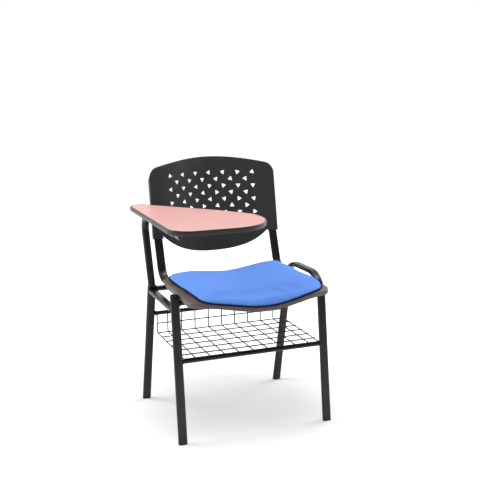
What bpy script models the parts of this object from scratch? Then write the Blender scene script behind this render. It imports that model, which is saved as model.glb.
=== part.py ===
# Tablet arm chair: welded flat oval tube frame, moulded seat and backrest, seat pad, wire book
# basket, and a writing tablet that folds up round a tube arm. Left and right are as seen from the
# front. Sizes are in millimetres: X to the viewer's right, Y to the back, Z up, floor at 0.
import math

import bmesh
import bpy
from mathutils import Matrix, Vector

for item in list(bpy.data.objects):
    bpy.data.objects.remove(item, do_unlink=True)

# Driving sizes
MM = 0.001
GAP = 0.3
TUBE_W, TUBE_D, TUBE_WALL = 30.0, 15.0, 1.5
CLEAR_HALF = 242.0
FRONT_FOOT_Y, FRONT_LEAN = -163.0, 0.140
REAR_FOOT_Y, REAR_LEAN = 257.0, -0.220
FOOT_H = 4.0
HOOP_TOP, HOOP_DROP, HOOP_RADIUS = 500.5, 5.0, 80.0
SEAT_FRAME_Z = 472.0
FRONT_RAIL_Y, REAR_RAIL_Y = -93.0, 160.0
REAR_RAIL_DROP, SIDE_RAIL_DROP = 16.0, 23.0
LEG_STUB = 47.5
UPRIGHT_FRONT_Y, UPRIGHT_RADIUS, UPRIGHT_LEAN = -118.0, 62.0, 0.38
UPRIGHT_KNEE, KNEE_RADIUS, UPRIGHT_MARGIN = 10.0, 120.0, 7.5
SOCKET_Z, SOCKET_Y, RECLINE = 596.0, 213.9, 0.205
SOCKET_DEEP, SOCKET_WALL, SOCKET_FRONT, SOCKET_THICK = 188.0, 2.8, 3.9, 21.6
SOCKET_LID, SOCKET_TAPER, SOCKET_EDGE, BACK_SCREW_UP = 4.0, 14.0, 3.0, 44.0
BACK_T, BACK_HOLLOW, BACK_MARGIN = 5.0, 48.0, 3.0
BACK_TOP, BACK_CROWN, BACK_CORNER = 861.0, 30.5, 30.0
BACK_LOW, BACK_SMILE = 531.0, 72.0
HOLE_PITCH_X, HOLE_PITCH_Z, HOLE_DROP, HOLE_R = 51.2, 23.4, 57.0, 8.4
HOLE_TURNS = ("7424315", "212354", "4241122", "125033", "1514303", "200560", "4152320")
SEAT_T, SEAT_DISH, SEAT_SLOPE, SEAT_FALL = 4.5, 15.4, 0.012, 8.5
SEAT_FRONT, SEAT_STEP, SEAT_REAR, SEAT_FLARE = -242.0, 105.0, 150.0, 5.0
LIP, LIP_WALL = 16.3, 4.0
PAD_T, PAD_RIM, PAD_FILL, PAD_EDGE, PAD_GAP, BOARD_T = 27.0, 14.5, 6.0, 16.0, 1.0, 3.0
PAD_SHIFT, PAD_TURN, PAD_BOW, PAD_CORNER = 6.0, 3.4, 66.0, 60.0
BAR_R = 7.0
BASKET_FRONT_Y, BASKET_FRONT_Z = -125.0, 263.0
BASKET_REAR_Y, BASKET_REAR_Z = 176.0, 340.0
WIRE, MESH, BASKET_BEND = 4.0, 50.0, 8.0
ARM_R, ARM_WALL, ARM_OUT, ARM_Z = 12.7, 1.5, 3.0, 682.0
ARM_CORNER_Y, ARM_END_Y, ARM_BEND = 233.0, -190.0, 45.0
TABLET_OVERHANG, TABLET_T, LAMINATE_T, BAND_T = 51.0, 16.0, 0.7, 3.0
TABLET_FRONT, TABLET_REAR, TABLET_TIP, TABLET_KNEE = -267.0, 243.0, 199.0, -64.0
SLEEVE_Y, SLEEVE_LONG, SLEEVE_T, FLANGE_HALF, FLANGE_T = (-120.0, 140.0), 30.0, 2.1, 23.0, 2.5
REST_LONG, REST_WIDE = 60.0, 45.0
SCREW_R, HEAD_R = 2.4, 4.2

# Sizes that follow from them
LEG_X = CLEAR_HALF + TUBE_W / 2
SEAT_HALF = CLEAR_HALF - 4.0
UPRIGHT_X = SEAT_HALF - UPRIGHT_MARGIN - TUBE_W / 2
UPRIGHT_Z = SEAT_FRAME_Z - TUBE_D / 2
BACK_HALF = UPRIGHT_X + TUBE_W / 2 + BACK_MARGIN
HOLE_TOP = BACK_TOP - HOLE_DROP
SEAT_REAR_HALF = UPRIGHT_X - TUBE_W / 2 - 4.0
SEAT_Z = SEAT_FRAME_Z + 2 * GAP + 0.1 + SEAT_T
FRONT_RAIL_Z = SEAT_FRAME_Z - 1.5 * TUBE_D - GAP
REAR_RAIL_Z = FRONT_RAIL_Z - REAR_RAIL_DROP
SIDE_RAIL_Z = FRONT_RAIL_Z - SIDE_RAIL_DROP
FRONT_STUB_Z = SIDE_RAIL_Z + LEG_STUB
REAR_STUB_Z = REAR_RAIL_Z + TUBE_D / 2 + 4.0
SLANT = math.hypot(1.0, RECLINE)
BACK_Y = SOCKET_Y - TUBE_D / 2 * SLANT - GAP - SOCKET_FRONT
SOCKET_BACK = BACK_Y + SOCKET_THICK
POCKET_D = TUBE_D + 3 * GAP
ARM_X = -LEG_X - ARM_OUT
TABLET_Z = ARM_Z + ARM_R + 3 * GAP + 2.1
TABLET_LEFT = ARM_X - TABLET_OVERHANG
BASKET_Z = BASKET_FRONT_Z + BAR_R + GAP
BASKET_Y = BASKET_REAR_Y - BAR_R - GAP
BACKMOST = BACK_Y + RECLINE * (BACK_TOP - SOCKET_Z) + BACK_HOLLOW + BACK_T
ORIGIN = Vector(((TABLET_LEFT + LEG_X + TUBE_W / 2) / 2, (TABLET_FRONT + BACKMOST) / 2, 0.0))
PIVOT = Vector((ARM_X, 0.0, ARM_Z))
ACROSS, BACKWARD, UP = Vector((1, 0, 0)), Vector((0, 1, 0)), Vector((0, 0, 1))

# Finishes, as colour, roughness and metallic
FINISHES = {
    "black enamel": ((0.035, 0.034, 0.033), 0.38, 0.0),
    "black plastic": ((0.040, 0.036, 0.034), 0.55, 0.0),
    "blue fabric": ((0.035, 0.180, 0.800), 0.90, 0.0),
    "plywood": ((0.520, 0.360, 0.210), 0.70, 0.0),
    "pink laminate": ((0.820, 0.460, 0.410), 0.40, 0.0),
    "zinc steel": ((0.560, 0.560, 0.540), 0.35, 1.0),
}
materials = {}
for finish, (colour, rough, metal) in FINISHES.items():
    material = bpy.data.materials.new(finish)
    material.use_nodes = True
    shader = material.node_tree.nodes["Principled BSDF"]
    shader.inputs["Base Color"].default_value = (*colour, 1.0)
    shader.inputs["Roughness"].default_value = rough
    shader.inputs["Metallic"].default_value = metal
    materials[finish] = material

# The chair stands with the middle of its box at the world origin; the tablet hangs on its pivot
carriers = {}
for label, place in (("chair", Vector()), ("tablet", PIVOT)):
    empty = bpy.data.objects.new(label, None)
    empty.location = (place - ORIGIN) * MM
    bpy.context.collection.objects.link(empty)
    carriers[label] = (empty, place)


# Makes an object from points and faces, on the chair or on the tablet
def add(name, shape, finish, on="chair"):
    points, faces = shape
    empty, place = carriers[on]
    mesh = bpy.data.meshes.new(name)
    mesh.from_pydata([(Vector(p) - place) * MM for p in points], [], faces)
    build = bmesh.new()
    build.from_mesh(mesh)
    bmesh.ops.recalc_face_normals(build, faces=build.faces)
    build.to_mesh(mesh)
    build.free()
    mesh.shade_smooth()
    mesh.set_sharp_from_angle(angle=math.radians(35))
    item = bpy.data.objects.new(name, mesh)
    item.parent = empty
    bpy.context.collection.objects.link(item)
    if finish:
        mesh.materials.append(materials[finish])
    return item


# Joins equal rings of points into a solid, or into a closed loop of rings
def loft(rings, loop=False):
    points = [p for ring in rings for p in ring]
    count, faces = len(rings[0]), []
    for i in range(len(rings) if loop else len(rings) - 1):
        a, b = i * count, (i + 1) % len(rings) * count
        faces += [(a + j, a + (j + 1) % count, b + (j + 1) % count, b + j) for j in range(count)]
    if not loop:
        faces += [tuple(reversed(range(count))), tuple(range(len(points) - count, len(points)))]
    return points, faces


# Puts several solids into one set of points and faces, for a cutter
def together(shapes):
    points, faces = [], []
    for more_points, more_faces in shapes:
        faces += [tuple(len(points) + i for i in face) for face in more_faces]
        points += more_points
    return points, faces


# Cuts one object with another, or joins it on; the other is hidden
def combine(item, other, operation):
    step = item.modifiers.new(other.name, "BOOLEAN")
    step.object, step.operation, step.solver = other, operation, "EXACT"
    other.hide_render = True
    other.display_type = "WIRE"


# Section of a flat oval tube: its width and depth, less an inset
def flat_oval(width, depth, inset=0.0):
    reach, radius = (width - depth) / 2, depth / 2 - inset
    angles = [math.pi * (step / 6 - 0.5) for step in range(7)]
    return [(side * (reach + radius * math.cos(a)), side * radius * math.sin(a))
            for side in (1, -1) for a in angles]


# Section of a round bar or tube
def circle(radius, sides=16):
    turns = [2 * math.pi * (i + 0.5) / sides for i in range(sides)]
    return [(radius * math.cos(a), radius * math.sin(a)) for a in turns]


# Line through corners, the inner ones rounded to the radii given
def bent(corners, radii, steps):
    corners = [Vector(c) for c in corners]
    line = [corners[0]]
    for before, corner, after, radius in zip(corners, corners[1:], corners[2:], radii):
        a, b = (before - corner).normalized(), (after - corner).normalized()
        half = a.angle(b) / 2
        centre = corner + (a + b).normalized() * radius / math.sin(half)
        arm = corner + a * radius / math.tan(half) - centre
        axis = b.cross(a)
        turn = (math.pi - 2 * half) / steps
        line += [centre + Matrix.Rotation(turn * i, 3, axis) @ arm for i in range(steps + 1)]
    return line + [corners[-1]]


# Rings of a section carried along a line; an end is cut on the plane that has the normal given
def carried(line, wide, section, start=None, end=None):
    rings = []
    for i, point in enumerate(line):
        ahead = (line[min(i + 1, len(line) - 1)] - point).normalized()
        behind = (point - line[max(i - 1, 0)]).normalized()
        along = (ahead + behind).normalized()
        deep = along.cross(wide).normalized()
        side = deep.cross(along)
        cut = start if i == 0 else end if i == len(line) - 1 else None
        ring = [point + side * a + deep * b for a, b in section]
        if cut:
            ring = [p - along * ((p - point).dot(cut) / along.dot(cut)) for p in ring]
        rings.append(ring)
    return rings


# A hollow tube along a line
def tube(line, wide, section, bore, start=None, end=None):
    outside = carried(line, wide, section, start, end)
    return loft(outside + carried(line, wide, bore, start, end)[::-1], loop=True)


# A flat oval tube of the frame
def frame_tube(name, line, wide, start=None, end=None):
    sections = (flat_oval(TUBE_W, TUBE_D), flat_oval(TUBE_W, TUBE_D, TUBE_WALL))
    return add(name, tube([Vector(p) for p in line], wide, *sections, start, end), "black enamel")


# A tube end or foot: sections with their insets, strung out from a point
def stopper(name, base, along, wide, stages, finish, cut=None):
    rings = []
    for far, inset in stages:
        pair = [base + along * far, base + along * (far + 1.0)]
        rings += carried(pair, wide, flat_oval(TUBE_W, TUBE_D, inset), cut)[:1]
    return add(name, loft(rings), finish)


# A turned solid: radii strung out from a base along an axis
def turned(base, axis, profile, sides=12):
    axis = Vector(axis).normalized()
    wide = axis.orthogonal().normalized()
    deep = axis.cross(wide)
    return loft([[Vector(base) + axis * far + wide * a + deep * b for a, b in circle(radius, sides)]
                 for far, radius in profile])


# A screw: a domed head under its seat and a shank beyond it
def screw(name, seat, axis, long, on="chair"):
    profile = [(-2.6, HEAD_R * 0.55), (-1.6, HEAD_R * 0.9), (0, HEAD_R), (0, SCREW_R), (long, SCREW_R)]
    return add(name, turned(seat, axis, profile, 10), "zinc steel", on)


# Round holes, each from a base along an axis
def drill(item, holes, on="chair"):
    shapes = [turned(base, axis, [(0, radius), (long, radius)], sides)
              for base, axis, radius, long, sides in holes]
    combine(item, add(item.name + " holes", together(shapes), None, on), "DIFFERENCE")


# Outline through corners given as x, y and radius, anticlockwise, moved in by an inset, with its
# sides in lengths of about the spacing
def outline(corners, inset=0.0, steps=4, spacing=45.0):
    arcs = []
    for i, (x, y, radius) in enumerate(corners):
        before, after = Vector(corners[i - 1][:2]), Vector(corners[(i + 1) % len(corners)][:2])
        corner = Vector((x, y))
        arrive, leave = (corner - before).normalized(), (after - corner).normalized()
        turn = math.atan2(arrive.x * leave.y - arrive.y * leave.x, arrive.dot(leave))
        side = 1 if turn > 0 else -1
        inward = Vector((-arrive.y, arrive.x)) * side
        centre = corner - arrive * radius * math.tan(abs(turn) / 2) + inward * radius
        first = math.atan2(-inward.y, -inward.x)
        count = max(steps, math.ceil(radius * abs(turn) / spacing))
        angles = [first + turn * step / count for step in range(count + 1)]
        reach = radius - side * inset
        arcs.append([centre + reach * Vector((math.cos(a), math.sin(a))) for a in angles])
    points = []
    for arc, after in zip(arcs, arcs[1:] + arcs[:1]):
        parts = math.ceil((after[0] - arc[-1]).length / spacing - 0.001)
        points += arc + [arc[-1].lerp(after[0], part / parts) for part in range(1, parts)]
    return points


# Corners of a mirrored outline, from those of its right half
def both_sides(half):
    return half + [(-x, y, radius) for x, y, radius in reversed(half) if x > 0]


# Points of the legs' centre lines
def front_leg(z, x=LEG_X):
    return Vector((x, FRONT_FOOT_Y + FRONT_LEAN * z, z))


def rear_leg(z, x=LEG_X):
    return Vector((x, REAR_FOOT_Y + REAR_LEAN * z, z))


# Right side: one tube bent into both legs and the loop over them
top = HOOP_TOP - TUBE_D / 2
hoop = [front_leg(FOOT_H), front_leg(top), rear_leg(top - HOOP_DROP), rear_leg(FOOT_H)]
hoop = bent(hoop, (HOOP_RADIUS, HOOP_RADIUS), 6)
frame_tube("right_leg_hoop", hoop, ACROSS, UP, UP)

# Left side: a front leg with a free top, a rear leg under the arm post, and a rail laid flat
frame_tube("left_front_leg", [front_leg(FOOT_H, -LEG_X), front_leg(FRONT_STUB_Z, -LEG_X)], ACROSS, UP, UP)
frame_tube("left_rear_leg", [rear_leg(FOOT_H, -LEG_X), rear_leg(REAR_STUB_Z, -LEG_X)], ACROSS, UP, UP)
front_face = TUBE_D / 2 * math.hypot(1, FRONT_LEAN) + GAP
rear_face = TUBE_D / 2 * math.hypot(1, REAR_LEAN) + GAP
side_rail = [front_leg(SIDE_RAIL_Z, -LEG_X) + BACKWARD * front_face,
             rear_leg(SIDE_RAIL_Z, -LEG_X) - BACKWARD * rear_face]
frame_tube("left_side_rail", side_rail, ACROSS, Vector((0, 1, -FRONT_LEAN)), Vector((0, 1, -REAR_LEAN)))

# Cross rails between the side frames
reach = CLEAR_HALF - GAP
for name, y, z in (("front_cross_rail", FRONT_RAIL_Y, FRONT_RAIL_Z), ("rear_cross_rail", REAR_RAIL_Y, REAR_RAIL_Z)):
    frame_tube(name, [(-reach, y, z), (reach, y, z)], BACKWARD)

# Feet: a pad on the floor and a stem up the tube
STEM = TUBE_WALL + GAP + 0.1
for name, leg, x in (("left_front_foot", front_leg, -LEG_X), ("left_rear_foot", rear_leg, -LEG_X),
                     ("right_front_foot", front_leg, LEG_X), ("right_rear_foot", rear_leg, LEG_X)):
    rise = leg(1.0, x) - leg(0.0, x)
    stages = [(0, 0.6), (0.8, 0), (FOOT_H - GAP, 0), (FOOT_H - GAP, STEM), (FOOT_H + 17, STEM),
              (FOOT_H + 19, STEM + 1)]
    stopper(name, leg(0.0, x), rise, ACROSS, stages, "black plastic", UP)

# Rounded cap on the free top of the left front leg
rise = front_leg(1.0) - front_leg(0.0)
stages = [(-16, STEM), (GAP, STEM), (GAP, 0), (2, 0.2), (3.8, 1.2), (5.2, 3), (5.9, 5.2)]
stopper("left_front_leg_cap", front_leg(FRONT_STUB_Z, -LEG_X), rise, ACROSS, stages, "black plastic", UP)

# Centre line of an upright: level under the seat, then up and back to a knee inside the socket, then
# along the slope of the backrest to a height
def upright_line(x, height):
    knee_z = SOCKET_Z + UPRIGHT_KNEE
    knee, end = (SOCKET_Y + RECLINE * (z - SOCKET_Z) for z in (knee_z, height))
    foot = knee - UPRIGHT_LEAN * (knee_z - UPRIGHT_Z)
    corners = [(x, UPRIGHT_FRONT_Y, UPRIGHT_Z), (x, foot, UPRIGHT_Z), (x, knee, knee_z), (x, end, height)]
    return bent(corners, (UPRIGHT_RADIUS, KNEE_RADIUS), 6)


# Height of a line where it passes a depth
def height_on(line, y):
    for a, b in zip(line, line[1:]):
        if a.y <= y <= b.y:
            return a.z + (b.z - a.z) * (y - a.y) / (b.y - a.y)


# Uprights: L tubes under the seat that bend up into the backrest, each with a plug and a strut
SEAT_SCREW_Y = (-50.0, 35.0)
SCREW_Z = SOCKET_Z + BACK_SCREW_UP
INTO_BACK = Vector((0, -1, RECLINE)).normalized()
back_seat = SOCKET_BACK + RECLINE * (SCREW_Z - SOCKET_Z) + GAP * SLANT
for side, x in (("left", -UPRIGHT_X), ("right", UPRIGHT_X)):
    line = upright_line(x, SOCKET_Z + SOCKET_DEEP - SOCKET_LID)
    upright = frame_tube(side + "_back_upright", line, ACROSS, None, UP)
    seat_at = Vector((x, back_seat, SCREW_Z))
    holes = [(Vector((x, y, SEAT_FRAME_Z - TUBE_D - 5)), UP, SCREW_R + GAP, TUBE_D + 10, 12) for y in SEAT_SCREW_Y]
    drill(upright, holes + [(seat_at - INTO_BACK * 3, INTO_BACK, SCREW_R + GAP, 14, 12)])
    stages = [(-3.6, 1.5), (-3, 0.3), (-GAP, 0), (-GAP, STEM), (14, STEM), (16, STEM + 1)]
    stopper(side + "_upright_plug", line[0], BACKWARD, ACROSS, stages, "black plastic")
    for place, y in zip(("front", "rear"), SEAT_SCREW_Y):
        seat = Vector((x, y, SEAT_FRAME_Z - TUBE_D - GAP))
        screw(side + "_" + place + "_seat_screw", seat, UP, SEAT_Z - 1.2 - seat.z)
    screw(side + "_backrest_screw", seat_at, INTO_BACK, 10.0)
    # Strut: a flat bar on the rear rail, cut to the slope of the upright over it
    under = [ring[0] for ring in carried(line, ACROSS, [(0.0, TUBE_D / 2 + 2 * GAP)])]
    corners = [(y, height_on(under, y)) for y in (REAR_RAIL_Y - 2.5, REAR_RAIL_Y + 2.5)]
    foot = REAR_RAIL_Z + TUBE_D / 2 + GAP
    inner = math.copysign(UPRIGHT_X - TUBE_W / 2 - 3.0, x)
    rings = [[Vector((e, corners[0][0], foot)), Vector((e, corners[1][0], foot)),
              Vector((e, *corners[1])), Vector((e, *corners[0]))]
             for e in (inner, inner + math.copysign(14.0, x))]
    add(side + "_seat_strut", loft(rings), "black enamel")


# Seat: how deep it is dished across, from 1 in the middle to 0 at the sides
def dished(x):
    return 0.5 * (1 + math.cos(math.pi * min(1.0, abs(x) / (SEAT_REAR_HALF + 1.0))))


# Height of its upper face, which falls away in front
def seat_height(x, y):
    dish = SEAT_DISH + SEAT_SLOPE * abs(y - FRONT_RAIL_Y)
    fall = max(0.0, FRONT_RAIL_Y - 7.0 - y) / (FRONT_RAIL_Y - 7.0 - SEAT_FRONT)
    return SEAT_Z - dish * dished(x) - SEAT_FALL * fall ** 2


# A ring of points at a height over the seat's upper face, which may fill the dish a little
def seat_ring(points, height, fill=0.0):
    return [Vector((p.x, p.y, seat_height(p.x, p.y) + height + fill * dished(p.x))) for p in points]


# Rings that shrink to a middle, at a height that may rise towards it
def shrinking(points, height, crown=0.0, fill=0.0, middle=Vector((0.0, -35.0))):
    rings = []
    for scale in (0.86, 0.68, 0.48, 0.28, 0.1):
        ring = [middle + (p - middle) * scale for p in points]
        rings.append(seat_ring(ring, height + crown * (1 - scale ** 2), fill))
    return rings


# Depth of the seat's lip, which ends before the uprights bend up
def lip_ring(points, full):
    ring = []
    for p in points:
        fade = min(1.0, max(0.0, (SEAT_STEP - 18.0 - p.y) / 40.0))
        ring.append(Vector((p.x, p.y, seat_height(p.x, p.y) - SEAT_T - 0.3 - (full - SEAT_T) * fade)))
    return ring


seat_corners = both_sides([(0.0, SEAT_FRONT - 17.0, 600.0), (SEAT_HALF + SEAT_FLARE, SEAT_FRONT + 42.0, 36.0),
                           (SEAT_HALF, SEAT_STEP - 3.0, 8.0), (SEAT_REAR_HALF, SEAT_STEP + 3.0, 8.0),
                           (SEAT_REAR_HALF, SEAT_REAR, 35.0)])
rim, lip_in = outline(seat_corners), outline(seat_corners, LIP_WALL)
rings = shrinking(lip_in, 0.0)[::-1] + [seat_ring(lip_in, 0.0), seat_ring(outline(seat_corners, 1.2), 0.0)]
rings += [seat_ring(rim, -1.2), lip_ring(rim, LIP), lip_ring(lip_in, LIP), seat_ring(lip_in, -SEAT_T)]
rings += shrinking(lip_in, -SEAT_T)
seat_shell = add("seat_shell", loft(rings), "black plastic")

# Seat pad: a fabric and foam cushion with a thin board let into its underside. Its front is one curve
# from corner to corner. It was laid by hand, a little to the right and turned
pad_half, pad_front = SEAT_HALF - PAD_EDGE, SEAT_FRONT - 31.0
bow = math.atan2(PAD_BOW, pad_half)
curve_end = math.hypot(pad_half, PAD_BOW) - PAD_CORNER * math.tan(math.pi / 4 - bow / 2) - 1.0
pad_corners = both_sides([(0.0, pad_front, curve_end / math.tan(bow)), (pad_half, pad_front + PAD_BOW, PAD_CORNER),
                          (pad_half, SEAT_STEP - 45.0, 150.0), (SEAT_REAR_HALF + 11.0, SEAT_REAR - 8.0, 40.0)])


def pad_outline(inset):
    turn = Matrix.Rotation(math.radians(PAD_TURN), 2)
    return [turn @ p + Vector((PAD_SHIFT, 0.0)) for p in outline(pad_corners, inset)]


recess, shoulder = pad_outline(10.5), PAD_RIM * 1.4
ceiling = BOARD_T + 2.5 * PAD_GAP
rings = shrinking(recess, ceiling)[::-1] + [seat_ring(recess, ceiling)]
profile = ((10.5, PAD_GAP), (2.5, PAD_GAP), (0.5, PAD_RIM * 0.2), (0.0, PAD_RIM * 0.42), (0.9, PAD_RIM * 0.68),
           (4.0, PAD_RIM), (12.0, shoulder))
rings += [seat_ring(pad_outline(inset), height, PAD_FILL * (height / shoulder) ** 2) for inset, height in profile]
rings += shrinking(pad_outline(12.0), shoulder, PAD_T - shoulder, PAD_FILL)
add("seat_cushion", loft(rings), "blue fabric")
board_edge = pad_outline(12.5)
board_top = PAD_GAP + BOARD_T
rings = shrinking(board_edge, PAD_GAP)[::-1] + [seat_ring(board_edge, PAD_GAP), seat_ring(board_edge, board_top)]
cushion_board = add("cushion_board", loft(rings + shrinking(board_edge, board_top)), "plywood")

# Screws up through the seat: four hold it to the uprights, four hold the pad's board
holes = [(Vector((x, y, SEAT_Z - SEAT_T - 6)), UP, SCREW_R + GAP, SEAT_T + 5, 12)
         for x in (-UPRIGHT_X, UPRIGHT_X) for y in SEAT_SCREW_Y]
board_holes = []
for side, x in (("left", -UPRIGHT_X / 2), ("right", UPRIGHT_X / 2)):
    for place, y in (("front", FRONT_RAIL_Y - 27.0), ("rear", SEAT_STEP - 3.0)):
        seat = Vector((x, y, seat_height(x, y) - SEAT_T - 1.2))
        holes.append((seat - UP * 4, UP, SCREW_R + GAP, SEAT_T + 4, 12))
        board_holes.append((seat + UP * 3, UP, SCREW_R + GAP, 9, 12))
        screw(side + "_" + place + "_cushion_screw", seat, UP, SEAT_T + 1.2 + BOARD_T)
deeper = [(base, axis, radius, long + 3, sides) for base, axis, radius, long, sides in holes[4:]]
drill(seat_shell, holes[:4] + deeper)
drill(cushion_board, board_holes)


# Backrest: front face, hollow across and leaning back, and the outline over and under it
def back_front(x, z):
    return BACK_Y + RECLINE * (z - SOCKET_Z) + BACK_HOLLOW * 0.5 * (1 + math.cos(math.pi * x / BACK_HALF))


def back_over(x):
    corner = max(0.0, abs(x) - BACK_HALF + BACK_CORNER)
    return BACK_TOP - BACK_CROWN * (x / BACK_HALF) ** 2 - BACK_CORNER + math.sqrt(BACK_CORNER ** 2 - corner ** 2)


def back_under(x):
    t = abs(x) / (SEAT_REAR_HALF + 1.0)
    return SOCKET_Z if t >= 1 else BACK_LOW + BACK_SMILE * (0.665 * t ** 2 + 0.335 * t ** 4)


sleeve_in = UPRIGHT_X - TUBE_W / 2 - SOCKET_WALL
half = [sleeve_in * step / 14 for step in range(15)] + [SEAT_REAR_HALF + 1.5]
half += [BACK_HALF - BACK_CORNER + BACK_CORNER * math.sin(math.pi / 2 * step / 6) for step in range(7)]
rings = []
for x in [-x for x in reversed(half[1:])] + half:
    low, high = back_under(x), back_over(x)
    rings.append([Vector((x, back_front(x, z) + deep, z)) for deep, z in
                  ((0, high), (0, low), (BACK_T, low), (BACK_T, high))])
backrest = add("backrest_shell", loft(rings), "black plastic")

# Sockets behind its lower corners, hollow for the uprights
for side, x in (("left", -UPRIGHT_X), ("right", UPRIGHT_X)):
    rings = []
    lid = SOCKET_Z + SOCKET_DEEP + SOCKET_LID
    for z, deep in ((SOCKET_Z - 1.4, 0.0), (lid, 0.0), (lid + SOCKET_TAPER, SOCKET_TAPER)):
        y0, y1 = BACK_Y + BACK_T - 1.0 + RECLINE * (z - SOCKET_Z), SOCKET_BACK - deep + RECLINE * (z - SOCKET_Z)
        w = TUBE_W / 2 + SOCKET_WALL
        rings.append([Vector((x + a * w, y, z)) for a, y in
                      ((-1, y0), (1, y0), (1, y1 - SOCKET_EDGE), (0.83, y1), (-0.83, y1), (-1, y1 - SOCKET_EDGE))])
    combine(backrest, add(side + " socket", loft(rings), None), "UNION")
for side, x in (("left", -UPRIGHT_X), ("right", UPRIGHT_X)):
    line = upright_line(x, SOCKET_Z + SOCKET_DEEP)
    pocket = loft(carried(line, ACROSS, flat_oval(TUBE_W + 2 * GAP, POCKET_D), None, UP))
    combine(backrest, add(side + " pocket", pocket, None), "DIFFERENCE")
drill(backrest, [(Vector((x, back_seat, SCREW_Z)) - INTO_BACK * 4, INTO_BACK, SCREW_R + GAP, 12, 12)
                 for x in (-UPRIGHT_X, UPRIGHT_X)])

# Triangular holes in staggered rows, each turned its own way
prisms = []
for row, turns in enumerate(HOLE_TURNS):
    for column, turn in enumerate(turns):
        x = (column - (len(turns) - 1) / 2) * HOLE_PITCH_X
        z = HOLE_TOP - row * HOLE_PITCH_Z
        ring = []
        for corner in range(3):
            for lean in (-12, 12):
                angle = math.radians(15 * int(turn) + 120 * corner + lean)
                ring.append((x + HOLE_R * math.cos(angle), z + HOLE_R * math.sin(angle)))
        prisms.append(loft([[Vector((px, back_front(x, z) + deep, pz)) for px, pz in ring] for deep in (-8, 14)]))
combine(backrest, add("backrest holes", together(prisms), None), "DIFFERENCE")

# Bars between the legs that carry the book basket
for name, y, z in (("basket_front_bar", BASKET_FRONT_Y, BASKET_FRONT_Z),
                   ("basket_rear_bar", BASKET_REAR_Y, BASKET_REAR_Z)):
    line = [Vector((-reach, y, z)), Vector((reach, y, z))]
    add(name, tube(line, UP, circle(BAR_R, 12), circle(BAR_R - 1.2, 12)), "black enamel")

# Book basket: a lattice of wires, its floor on the front bar and its back against the rear bar
floor_z, wall_y = BASKET_Z + WIRE / 2, BASKET_Y - WIRE / 2
line = bent([(0, BASKET_FRONT_Y - 4.0, floor_z), (0, wall_y, floor_z), (0, wall_y, BASKET_REAR_Z + BAR_R)],
            (BASKET_BEND,), 4)
cross = [wall_y - 13.0 - MESH * i for i in range(6)]
marks = [(line[0], True), (line[0] + BACKWARD * WIRE, False)]
for y in reversed(cross):
    marks += [(Vector((0, y - WIRE / 2, floor_z)), True), (Vector((0, y + WIRE / 2, floor_z)), False)]
marks += [(p, False) for p in line[1:-1]]
for z in (floor_z + 34.0, line[-1].z - WIRE / 2):
    marks += [(Vector((0, wall_y, z - WIRE / 2)), True), (Vector((0, wall_y, z + WIRE / 2)), False)]
span = [MESH * i for i in range(-4, 5)]
span = [-CLEAR_HALF + 2 + WIRE / 2] + span + [CLEAR_HALF - 2 - WIRE / 2]
columns = [(x + d, d < 0) for x in span for d in (-WIRE / 2, WIRE / 2)]
points, faces, cells = [], [], set()
for i, (point, _) in enumerate(marks):
    ahead = (marks[min(i + 1, len(marks) - 1)][0] - point).normalized()
    behind = (point - marks[max(i - 1, 0)][0]).normalized()
    outward = ACROSS.cross((ahead + behind).normalized())
    for x, _ in columns:
        points += [point + ACROSS * x + outward * d for d in (-WIRE / 2, WIRE / 2)]
for i in range(len(marks) - 1):
    cells |= {(i, j) for j in range(len(columns) - 1) if marks[i][1] or columns[j][1]}


def corner_at(i, j, layer):
    return 2 * (i * len(columns) + j) + layer


for i, j in sorted(cells):
    square = ((i, j), (i, j + 1), (i + 1, j + 1), (i + 1, j))
    faces += [tuple(corner_at(*c, 0) for c in square), tuple(corner_at(*c, 1) for c in reversed(square))]
    beside = ((i - 1, j), (i, j + 1), (i + 1, j), (i, j - 1))
    for k, neighbour in enumerate(beside):
        if neighbour not in cells:
            a, b = square[k], square[(k + 1) % 4]
            faces.append((corner_at(*b, 0), corner_at(*a, 0), corner_at(*a, 1), corner_at(*b, 1)))
used = sorted({i for face in faces for i in face})
renumber = {old: new for new, old in enumerate(used)}
add("book_basket", ([points[i] for i in used], [tuple(renumber[i] for i in face) for face in faces]), "black enamel")

# Arm: a round tube that stands on the left rear leg, leans back and bends forward
post_foot = rear_leg(REAR_STUB_Z + GAP, -LEG_X)
arm_corner = Vector((ARM_X, ARM_CORNER_Y, ARM_Z))
arm_end = Vector((ARM_X, ARM_END_Y, ARM_Z))
arm = bent([post_foot, arm_corner, arm_end], (ARM_BEND,), 9)
arm_wide = (arm_corner - post_foot).cross(arm_end - arm_corner).normalized()
add("tablet_arm", tube(arm, arm_wide, circle(ARM_R), circle(ARM_R - ARM_WALL), UP), "black enamel")
profile = [(-2.6, ARM_R * 0.72), (-2.0, ARM_R * 0.93), (-GAP, ARM_R), (-GAP, ARM_R - ARM_WALL - 0.6),
           (14, ARM_R - ARM_WALL - 0.6), (16, ARM_R - ARM_WALL - 1.6)]
add("arm_end_plug", turned(arm_end, BACKWARD, profile, 16), "black plastic")

# Rest: a plate welded along the top of the arm, inboard, that the tablet comes down on
rest_y = sum(SLEEVE_Y) / 2
x0, x1, z0, z1 = ARM_X - 1.0, ARM_X + REST_WIDE, ARM_Z + ARM_R + GAP, TABLET_Z - GAP
rings = [[Vector((x0, y, z0)), Vector((x1, y, z0)), Vector((x1, y, z1)), Vector((x0, y, z1))]
         for y in (rest_y - REST_LONG / 2, rest_y + REST_LONG / 2)]
add("tablet_rest", loft(rings), "black enamel")

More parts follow.
